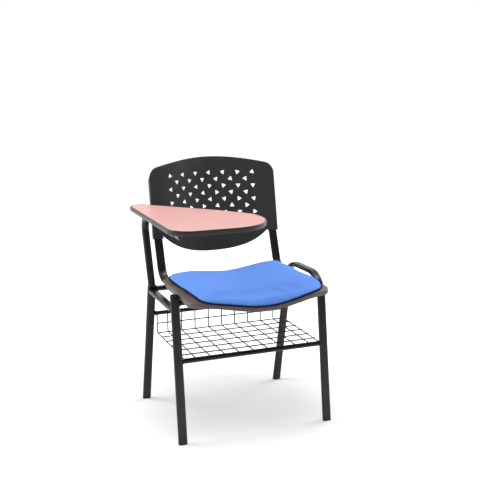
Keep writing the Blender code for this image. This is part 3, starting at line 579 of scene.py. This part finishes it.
for v, start in zip(cushion.data.vertices, before):
    move = v.co - start
    v.co = start + move * min(1.0, MOST_SWELL / max(move.length, 1e-9))
evened = cushion.modifiers.new("evened cover", "SMOOTH")
evened.factor, evened.iterations, evened.vertex_group = 0.5, 12, free.name
settle(cushion)
cushion.vertex_groups.clear()
finer = cushion.modifiers.new("finer skin", "SUBSURF")
finer.levels = finer.render_levels = 1


# A round cord or bead along a line, with its sides set by a direction that is never along it
def bead(line, lift, radius, closed=True, ripple=0.0):
    rings, count = [], len(line)
    for i, p in enumerate(line):
        if closed:
            before, after = line[i - 1], line[(i + 1) % count]
        else:
            before, after = line[max(i - 1, 0)], line[min(i + 1, count - 1)]
        along = (after - before).normalized()
        side = along.cross(lift).normalized()
        section = circle(radius * (1 + ripple * (i % 2)), THIN_SIDES)
        rings.append([p + side * a + side.cross(along) * b for a, b in section])
    return loft(rings, loop=closed)


# The welt's near-black navy is partly its own cloth and partly painted shade for the gap between the pad and
# the shell
WELT_R = 2.8
welt_cloth_and_gap_shade, tree, shader = nodes_of("navy_welt_and_painted_gap_shade")
navy_and_painted_gap_shade = between(tree, mottle(tree, 0.02, 0.0, 1.0), (0.0035, 0.0065, 0.022), (0.0065, 0.0115, 0.038))
dress(tree, shader, navy_and_painted_gap_shade, mottle(tree, 0.01, 0.75, 0.9), mottle(tree, 0.0012, 0.0, 1.0), 0.0002)
shader.inputs["Specular IOR Level"].default_value = 0.1
welt = bead(seat_ring(pad_outline(-0.1), WELT_R + 0.2), UP, WELT_R)
piece("seat_cushion_welt_and_gap_shade", welt, welt_cloth_and_gap_shade, sharp=NONE_SHARP)

# Backrest. Injection moulded in one with the sockets behind its lower corners: hollow across for the
# sitter's back, with a rounded rim and staggered rows of small triangular holes, each turned its own way.
BACK_Y, BACK_T, HOLLOW, BACK_HALF = 202.044, 5.0, 48.0, 233.5
BACK_TOP, CROWN, CORNER, BACK_LOW = 861.0, 30.5, 30.0, 531.0
SMILE, SMILE_ROUND, SMILE_STEEP = 72.0, 0.665, 0.335
SOCKET_IN = SEAT_REAR_HALF + 1.0  # inner side of a socket
back_plastic = plastic_finish("dark_grey_back_plastic", (0.0262, 0.0240, 0.0224), (0.0345, 0.0318, 0.0296),
                              0.42, 0.0010, 0.00005)


def back_face(x, z):
    return BACK_Y + RECLINE * (z - SOCKET_Z) + HOLLOW * 0.5 * (1 + math.cos(math.pi * x / BACK_HALF))


def back_over(x):
    corner = max(0.0, abs(x) - BACK_HALF + CORNER)
    return BACK_TOP - CROWN * (x / BACK_HALF) ** 2 - CORNER + math.sqrt(max(0.0, CORNER ** 2 - corner ** 2))


def back_under(x):
    t = abs(x) / SOCKET_IN
    return BACK_LOW + SMILE * (SMILE_ROUND * t ** 2 + SMILE_STEEP * t ** 4)


# A point at a depth behind the front face, square to it
def back_point(x, z, depth):
    slope = -HOLLOW * 0.5 * math.pi / BACK_HALF * math.sin(math.pi * x / BACK_HALF)
    out = Vector((-slope, 1.0, -RECLINE)).normalized()
    return Vector((x, back_face(x, z), z)) + out * depth


# A closed line of points moved sideways, to its left if the distance is positive
def beside(line, distance):
    moved = []
    for i, p in enumerate(line):
        a, b = (p - line[i - 1]).normalized(), (line[(i + 1) % len(line)] - p).normalized()
        lean = (Vector((-a.y, a.x)) + Vector((-b.y, b.x))).normalized()
        moved.append(p + lean * distance / max(0.5, lean.dot(Vector((-a.y, a.x)))))
    return moved


TOP_STEPS, CORNER_STEPS, SIDE_STEPS, LOW_STEPS = 26, 10, 18, 24
half_top = [(BACK_HALF - CORNER) * step / TOP_STEPS for step in range(TOP_STEPS)]
bearings = [math.pi / 2 * step / CORNER_STEPS for step in range(CORNER_STEPS + 1)]
half_top += [BACK_HALF - CORNER + CORNER * math.sin(bearing) for bearing in bearings]
half_low = [SOCKET_IN * step / LOW_STEPS for step in range(LOW_STEPS + 1)]
right = [(x, back_over(x)) for x in half_top]
foot_of_corner = right[-1][1]
side_drop = SOCKET_Z - foot_of_corner
right += [(BACK_HALF, foot_of_corner + side_drop * step / SIDE_STEPS) for step in range(1, SIDE_STEPS)]
right += [(x, SOCKET_Z) for x in (BACK_HALF, BACK_HALF - 12, BACK_HALF - 24, SOCKET_IN)]
right += [(x, back_under(x)) for x in reversed(half_low)]
border = [Vector(p) for p in right] + [Vector((-x, z)) for x, z in reversed(right) if x > 0]
border.reverse()  # anticlockwise, so that its left is inwards

HOLE_PITCH, ROW_PITCH, TOP_ROW, HOLE_R, HOLE_CORNER = 51.2, 23.4, 804.0, 8.4, 1.6
HOLE_TURNS = ("7424315", "212354", "4241122", "125033", "1514303", "200560", "4152320")
TURN_STEP = 15  # degrees for each count in a row of turns


def around(centre, radius, angle):
    return centre + radius * Vector((math.cos(angle), math.sin(angle)))


# A triangle with rounded corners, and two more points along each side
def hole_ring(centre, turn):
    arcs = []
    for corner in range(3):
        angle = math.radians(TURN_STEP * turn + 120 * corner)
        tip = around(centre, HOLE_R - HOLE_CORNER, angle)
        arcs.append([around(tip, HOLE_CORNER, angle + math.radians(lean)) for lean in (-60, -30, 0, 30, 60)])
    ring = []
    for arc, after in zip(arcs, arcs[1:] + arcs[:1]):
        ring += arc + [arc[-1].lerp(after[0], share) for share in (1 / 3, 2 / 3)]
    return ring


holes = []
for row, turns in enumerate(HOLE_TURNS):
    for column, turn in enumerate(turns):
        centre = Vector(((column - (len(turns) - 1) / 2) * HOLE_PITCH, TOP_ROW - row * ROW_PITCH))
        holes.append(hole_ring(centre, int(turn)))

# Rounded edges from the front face to the back, as inset and depth
ROUND = 2.2
profile = ((ROUND, 0.0), (1.1, 0.35), (0.35, 1.1), (0.0, 2.2), (0.0, 2.8), (0.35, 3.9), (1.1, 4.65),
           (ROUND, BACK_T))
hole_profile = ((0.8, 0.0), (0.25, 0.25), (0.0, 0.8), (0.0, 4.2), (0.25, 4.75), (0.8, BACK_T))


def within(p, line):
    inside = False
    for a, b in zip(line, line[1:] + line[:1]):
        if (a.y > p.y) != (b.y > p.y) and p.x < a.x + (p.y - a.y) / (b.y - a.y) * (b.x - a.x):
            inside = not inside
    return inside


def middle_of(points):
    return sum(points, Vector((0, 0))) / len(points)


# The face laid flat: its border, its holes and a net of points between them, cut into triangles
flat_border = beside(border, profile[0][0])
flat_holes = [beside(ring, -hole_profile[0][0]) for ring in holes]
flat_points, flat_edges = [], []
for line in [flat_border] + flat_holes:
    first = len(flat_points)
    flat_points += line
    flat_edges += [(first + i, first + (i + 1) % len(line)) for i in range(len(line))]
taken = np.array([tuple(p) for p in flat_points])
hole_middles = [middle_of(ring) for ring in holes]
NET, NET_LOW, NET_CLEAR, NET_ROWS, NET_COLUMNS = 8.5, 525.0, 4.0, 45, 30
for row in range(NET_ROWS):
    for column in range(-NET_COLUMNS, NET_COLUMNS + 1):
        p = Vector(((column + 0.5 * (row % 2)) * NET, NET_LOW + row * NET * 0.866))
        if within(p, flat_border) and np.min(np.hypot(taken[:, 0] - p.x, taken[:, 1] - p.y)) > NET_CLEAR:
            if not any((p - middle).length < HOLE_R + 1.0 for middle in hole_middles):
                flat_points.append(p)
flat, _, cells, sources, _, _ = geometry.delaunay_2d_cdt(flat_points, flat_edges, [], 0, 1e-5)
triangles = []
for cell in cells:
    centre = middle_of([flat[i] for i in cell])
    in_hole = any((centre - middle).length < HOLE_R + 2 and within(centre, ring)
                  for middle, ring in zip(hole_middles, flat_holes))
    if within(centre, flat_border) and not in_hole:
        triangles.append(tuple(cell))
new_index = {old[0]: new for new, old in enumerate(sources) if old}
SOCKET_LID, SOCKET_WALL, WALL_TAPER = 12.0, 3.3, 0.12


# The wall is thinner where a socket takes the upright, and thins more below the upright's knee
def wall_at(p):
    if abs(p.x) < SOCKET_IN or p.y > SOCKET_Z + SOCKET_DEEP + SOCKET_LID:
        return BACK_T
    return SOCKET_WALL - WALL_TAPER * max(0.0, KNEE_Z - p.y)


points = [back_point(p.x, p.y, 0.0) for p in flat] + [back_point(p.x, p.y, wall_at(p)) for p in flat]
faces = [tuple(reversed(face)) for face in triangles]
faces += [tuple(len(flat) + i for i in face) for face in triangles]
first = 0
for line, shape, sign in [(border, profile, 1)] + [(ring, hole_profile, -1) for ring in holes]:
    at = [new_index[first + i] for i in range(len(line))]
    first += len(line)
    strips = [at]
    for inset, depth in shape[1:-1]:
        strips.append(list(range(len(points), len(points) + len(line))))
        points += [back_point(p.x, p.y, depth * wall_at(p) / BACK_T) for p in beside(line, sign * inset)]
    strips.append([len(flat) + i for i in at])
    for a, b in zip(strips, strips[1:]):
        faces += [(a[i], a[(i + 1) % len(line)], b[(i + 1) % len(line)], b[i]) for i in range(len(line))]
moulding = points, faces
backrest = piece("backrest_moulding", moulding, back_plastic, ["backrest_shell"], sharp=80.0)
even = backrest.modifiers.new("even shading", "WEIGHTED_NORMAL")
even.weight, even.keep_sharp = 60, True

# Sockets: boxes behind the lower corners, open below for the uprights
SOCKET_HALF, SOCKET_BACK, SOCKET_ROUND = TUBE_WIDE / 2 + 2.8, 21.6, 3.0
LID_Z, SOCKET_EDGE, POCKET_CLEAR = SOCKET_Z + SOCKET_DEEP + 4.0, 1.4, 0.45
OUTER_FRONT, INNER_FRONT = 1.5, 4.4  # the hollow face lies deeper at a box's inner side


def box_ring(x, z, back):
    at_left, at_right = (INNER_FRONT, OUTER_FRONT) if x > 0 else (OUTER_FRONT, INNER_FRONT)
    corners = [(SOCKET_HALF, at_right, SOCKET_ROUND), (SOCKET_HALF, back, SOCKET_ROUND),
               (-SOCKET_HALF, back, SOCKET_ROUND), (-SOCKET_HALF, at_left, SOCKET_ROUND)]
    edge = BACK_Y + RECLINE * (z - SOCKET_Z)
    return [Vector((x + p.x, edge + p.y, z)) for p in outline(corners, steps=5, spacing=200.0)]


box_stages = ((LID_Z + 15, 9.0), (LID_Z + 4, SOCKET_BACK - 1.2), (LID_Z, SOCKET_BACK),
              (SOCKET_Z - SOCKET_EDGE, SOCKET_BACK))
for side, x in UPRIGHTS:
    rings = [box_ring(x, z, back) for z, back in box_stages]
    pocket = [p for p in upright_line(x, SOCKET_Z + SOCKET_DEEP) if p.z > SOCKET_Z]
    mouth = pocket[0] - (pocket[1] - pocket[0]).normalized() * (pocket[0].z - SOCKET_Z + SOCKET_EDGE)
    rings += carried([mouth] + pocket, ACROSS, oval(-POCKET_CLEAR, 11), UP, UP)
    piece(side + "_backrest_socket", loft(rings), back_plastic, sharp=40.0)

# Tablet arm. A round steel tube welded on the top of the left rear leg, leaning back as it rises and
# bent forward level under the tablet; a plastic plug closes its end and a welded plate carries the tablet.
ARM_R, ARM_WALL, ARM_BEND, ARM_SIDES = 12.7, 1.5, 45.0, 32
ARM_X, ARM_Z, ARM_CORNER_Y, ARM_END_Y = -260.0, 682.0, 233.0, -190.0
post_foot = rear_leg(POST_Z + GAP, -LEG_X)
arm_corner, arm_end = Vector((ARM_X, ARM_CORNER_Y, ARM_Z)), Vector((ARM_X, ARM_END_Y, ARM_Z))
arm_wide = (arm_corner - post_foot).cross(arm_end - arm_corner).normalized()
arm_line = bent([post_foot, arm_corner, arm_end], (ARM_BEND,))
shape = tube(arm_line, arm_wide, circle(ARM_R, ARM_SIDES), circle(ARM_R - ARM_WALL, ARM_SIDES), UP)
piece("tablet_arm_tube", shape, enamel, ["tablet_arm"])

plug_profile = [(-2.2, 1.6), (-2.9, 2.1), (-2.7, 3.2), (-2.3, 4.0), (-2.6, 8.6), (-2.5, 10.3), (-2.0, 11.7),
                (-1.2, 12.5), (-0.3, ARM_R), (-0.3, 10.6), (14, 10.6), (16, 9.6)]
plug = turned(arm_end, BACKWARD, plug_profile)
piece("arm_end_plug_cap", plug, glide_plastic, ["arm_end_plug"], sharp=60.0)
smoothed("tablet_rest", "tablet_rest_plate", enamel, round_off=0.0005)

# Welds. Small rippled beads of weld metal where the tubes meet: round both ends of each rail and bar,
# round the foot of the arm's post, and beside the uprights where they cross the front rail.
BEAD_R, BAR_BEAD_R, CROSSING_BEAD_R, RIPPLE = 1.7, 1.4, 1.5, 0.18
CROSSING_X, CROSSING_HALF, BEAD_STEP, BEAD_COUNT = 9.5, 13.0, 2.0, 14
OFF_OVAL, OFF_ROUND = 0.3, 0.2  # how far the middle of a bead lies off the skin of each kind of tube
FROM_OVAL, FROM_ROUND = 0.6, 0.4  # and how far from the joint
seams = []
joints = [(at, oval(-OFF_OVAL), FROM_OVAL, BEAD_R) for at in (FRONT_RAIL, REAR_RAIL)]
joints += [(at, circle(BAR_R + OFF_ROUND, 20), FROM_ROUND, BAR_BEAD_R) for at in (BAR_FRONT, BAR_REAR)]
for at, section, inward, radius in joints:
    for end in (-1, 1):
        ring = [at + ACROSS * end * (RAIL_HALF - inward) + BACKWARD * a + UP * b for a, b in section]
        seams.append(bead(ring, ACROSS, radius, ripple=RIPPLE))
rail_rings = carried(rail_ends, ACROSS, oval(-OFF_OVAL), *rail_cuts)
for ring, inward in ((rail_rings[0], FROM_OVAL), (rail_rings[-1], -FROM_OVAL)):
    seams.append(bead([p + BACKWARD * inward for p in ring], BACKWARD, BEAD_R, ripple=RIPPLE))
post_ring = carried(arm_line, arm_wide, circle(ARM_R + OFF_ROUND, ARM_SIDES), UP)[0]
seams.append(bead([p + UP * FROM_ROUND for p in post_ring], UP, BEAD_R, ripple=RIPPLE))
for x in (-UPRIGHT_X, UPRIGHT_X):
    for reach in (-CROSSING_X, CROSSING_X):
        start = Vector((x + reach, FRONT_RAIL.y - CROSSING_HALF, UPRIGHT_Z - TUBE_DEEP / 2))
        line = [start + BACKWARD * BEAD_STEP * step for step in range(BEAD_COUNT)]
        seams.append(bead(line, UP, CROSSING_BEAD_R, closed=False, ripple=RIPPLE))
piece("frame_weld_beads", together(seams), enamel, sharp=NONE_SHARP)

# Tablet. A 16 mm chipboard panel with a pink laminate pressed on it and a black PVC moulding knocked
# into a groove right round its edge; two sleeves screwed under it turn on the arm tube.
TABLET_Z, TABLET_T, BAND_T = 697.7, 16.0, 3.0
TABLET_LEFT, TABLET_FRONT, TABLET_REAR, TABLET_TIP, KNEE_X = -311.0, -267.0, 243.0, 199.0, -64.0
back_at = BACK_Y + RECLINE * (TABLET_Z - SOCKET_Z) - 6.6  # clear of the backrest
tablet_corners = [(TABLET_LEFT, TABLET_FRONT, 66.0), (TABLET_TIP, TABLET_FRONT, 145.0),
                  (KNEE_X, back_at - KNEE_X - BACK_HALF, 400.0),
                  (-BACK_HALF - (TABLET_REAR - back_at), TABLET_REAR, 25.0), (TABLET_LEFT, TABLET_REAR, 30.0)]


def level(inset, z):
    flat_line = outline(tablet_corners, inset, steps=24, spacing=2000.0)
    return [Vector((p.x, p.y, TABLET_Z + z)) for p in flat_line]


band_plastic = plastic_finish("black_edge_moulding", (0.0135, 0.0112, 0.0095), (0.0205, 0.0172, 0.0148),
                              0.34, 0.0012, 0.00004)
band_profile = [(BAND_T, 0.0), (1.6, 0.0), (0.8, 0.3), (0.25, 1.0), (0.0, 2.4), (-0.35, 8.0), (0.0, 13.6),
                (0.25, 15.0), (0.8, 15.7), (1.6, TABLET_T), (BAND_T, TABLET_T)]
band = loft([level(inset, z) for inset, z in band_profile], loop=True)
piece("tablet_edge_moulding", band, band_plastic, ["tablet_edge_band"], "tablet", sharp=60.0)

laminate, tree, shader = nodes_of("pink_satin_laminate")
fleck = mottle(tree, 0.0016, 0.0, 0.5, 2.0)
cloud = mottle(tree, 0.09, 0.0, 0.5, 4.0)
share = node(tree, "Math", {0: fleck, 1: cloud}, operation="ADD").outputs[0]
pink = between(tree, share, (0.700, 0.362, 0.327), (0.760, 0.426, 0.385))
dress(tree, shader, pink, mottle(tree, 0.03, 0.34, 0.46), mottle(tree, 0.0012, 0.0, 1.0, 2.0), 0.00003)
shader.inputs["Specular IOR Level"].default_value = 0.5
IN_BAND, SHEET_LOW, SHEET_EDGE, SHEET_TOP = BAND_T + 0.05, 15.0, 15.55, 15.7
sheet = loft([level(IN_BAND, SHEET_LOW), level(IN_BAND, SHEET_EDGE), level(IN_BAND + 0.2, SHEET_TOP)])
piece("tablet_laminate_sheet", sheet, laminate, ["tablet_laminate"], "tablet", sharp=30.0)

PANEL_LOW, PANEL_TOP = 0.15, 14.9
panel = loft([level(IN_BAND, PANEL_LOW), level(IN_BAND, PANEL_TOP)])
piece("tablet_chipboard", panel, chipboard, ["tablet_board"], "tablet", sharp=30.0)
for place in ("front", "rear"):
    smoothed(place + "_pivot_sleeve", place + "_pivot_bracket", enamel, "tablet", 0.0005)

# Screws. Zinc plated pan heads: up through the uprights into the seat, through the shell into the
# cushion's board, into the uprights from behind the backrest, and under the tablet.
zinc, tree, shader = nodes_of("zinc_plated_screw")
plating = between(tree, mottle(tree, 0.002, 0.0, 1.0), (0.42, 0.42, 0.40), (0.60, 0.60, 0.56))
dress(tree, shader, plating, mottle(tree, 0.003, 0.28, 0.42), mottle(tree, 0.0006, 0.0, 1.0), 0.00002)
shader.inputs["Metallic"].default_value = 1.0
for name in sorted(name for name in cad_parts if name.endswith("_screw")):
    smoothed(name, name + "_zinc", zinc, "tablet" if "sleeve" in name else "frame")

# Studio. A plain pale floor that runs into a white background, a broad light from the ceiling, a softbox
# on either side and a weak one in front, one overhead that only shows as a gloss, and a camera that
# stands where the photograph was taken from. All in metres but for the camera's place.
FLOOR_HALF = 14.0
# Middle and radius of the shadow pool painted into the floor's glow, the distance at which that glow is full,
# and the full glow
PAINTED_SHADOW_MIDDLE, PAINTED_SHADOW_R, WHITE_R, GLOW = (0.05, 0.10, 0.0), 0.15, 0.72, 0.68
FILL, DARK_SIDE = 0.52, 0.24
bpy.context.scene.view_settings.view_transform = "Standard"
floor_mesh = bpy.data.meshes.new("studio_floor")
floor_corners = [(x * FLOOR_HALF, y * FLOOR_HALF, 0) for x, y in ((-1, -1), (1, -1), (1, 1), (-1, 1))]
floor_mesh.from_pydata(floor_corners, [], [(0, 1, 2, 3)])
floor = bpy.data.objects.new("studio_floor", floor_mesh)
bpy.context.collection.objects.link(floor)
paper, tree, shader = nodes_of("pale_studio_floor")
floor_mesh.materials.append(paper)
shader.inputs["Base Color"].default_value = (0.65, 0.65, 0.65, 1.0)
shader.inputs["Roughness"].default_value = 0.9
shader.inputs["Specular IOR Level"].default_value = 0.0
shader.inputs["Emission Color"].default_value = (1.0, 1.0, 1.0, 1.0)


# 1 for what the camera sees itself, in a gloss or through glass, and 0 for the light that a surface gets
def seen_directly(tree):
    path = node(tree, "LightPath").outputs
    either = node(tree, "Math", {0: path["Is Camera Ray"], 1: path["Is Glossy Ray"]}, operation="ADD")
    through = {0: either.outputs[0], 1: path["Is Transmission Ray"]}
    return node(tree, "Math", through, operation="ADD", use_clamp=True).outputs[0]


# The paper glows less close to the chair, which paints a shadow pool where its shadow lies, than far away,
# where the lamps fade
from_middle = {0: node(tree, "TexCoord").outputs["Object"], 1: PAINTED_SHADOW_MIDDLE}
away = node(tree, "VectorMath", from_middle, operation="DISTANCE").outputs["Value"]
spread = {"Value": away, "From Min": PAINTED_SHADOW_R, "From Max": WHITE_R, "To Min": 0.0, "To Max": GLOW}
spread = node(tree, "MapRange", spread, interpolation_type="SMOOTHSTEP").outputs["Result"]
glow = node(tree, "Math", {0: seen_directly(tree), 1: spread}, operation="MULTIPLY").outputs[0]
tree.links.new(glow, shader.inputs["Emission Strength"])

# The room: white to the eye, while glossy surfaces show the darker side of the studio that the chair faces
world = bpy.data.worlds.new("studio")
bpy.context.scene.world = world
world.use_nodes = True
tree = world.node_tree
room = tree.nodes["Background"].inputs
room["Color"].default_value = (1.0, 1.0, 1.0, 1.0)
facing = node(tree, "SeparateXYZ", {"Vector": node(tree, "TexCoord").outputs["Generated"]}).outputs["Y"]
walls = {"Value": facing, "From Min": -0.5, "From Max": 0.2, "To Min": DARK_SIDE, "To Max": 1.0}
walls = node(tree, "MapRange", walls).outputs["Result"]
eye = node(tree, "LightPath").outputs["Is Camera Ray"]
backdrop = node(tree, "Math", {0: walls, 1: eye}, operation="MAXIMUM").outputs[0]
strength = node(tree, "Mix", data_type="FLOAT")
tree.links.new(seen_directly(tree), strength.inputs[0])
strength.inputs[2].default_value = FILL
tree.links.new(backdrop, strength.inputs[3])
tree.links.new(strength.outputs[0], room["Strength"])


def hang(lamp, at, aim):
    item = bpy.data.objects.new(lamp.name, lamp)
    item.location = at
    item.rotation_euler = (Vector(aim) - Vector(at)).to_track_quat("-Z", "Y").to_euler()
    item.visible_camera = False
    bpy.context.collection.objects.link(item)
    return item


def softbox(name, wide, high, power):
    lamp = bpy.data.lights.new(name, "AREA")
    lamp.shape, lamp.size, lamp.size_y, lamp.energy = "RECTANGLE", wide, high, power
    return lamp


SEAT_AT = (0.0, 0.0, 0.5)
ceiling_light = bpy.data.lights.new("ceiling_light", "SUN")
ceiling_light.energy, ceiling_light.angle = 0.36, math.radians(55.0)
hang(ceiling_light, (-0.25, -0.35, 3.0), (0.0, 0.0, 0.0))
hang(softbox("front_softbox", 3.0, 1.6, 5.0), (-0.5, -3.0, 1.5), SEAT_AT)
hang(softbox("left_softbox", 2.0, 1.2, 80.0), (-2.4, 1.1, 1.9), SEAT_AT)
hang(softbox("right_softbox", 2.0, 1.2, 72.0), (2.5, 0.6, 1.9), SEAT_AT)
gloss_light = hang(softbox("overhead_gloss_light", 1.8, 1.2, 40.0), (0.6, -0.3, 2.7), (0.0, 0.1, 0.5))
gloss_light.visible_diffuse = False

CAMERA_AT = Vector((-1070.0, -2683.0, 1232.0))
turn, tilt = math.radians(21.82), math.radians(12.06)
camera = bpy.data.objects.new("camera", bpy.data.cameras.new("camera"))
camera.data.sensor_width, camera.data.lens, camera.data.clip_start = 36.0, 66.675, 0.05
ahead = Vector((math.sin(turn) * math.cos(tilt), math.cos(turn) * math.cos(tilt), -math.sin(tilt)))
rightward = Vector((math.cos(turn), -math.sin(turn), 0.0))
upward = rightward.cross(ahead)
camera.matrix_world = Matrix((rightward, upward, -ahead)).transposed().to_4x4()
camera.matrix_world.translation = (CAMERA_AT - MIDDLE) * MM
bpy.context.collection.objects.link(camera)
bpy.context.scene.camera = camera
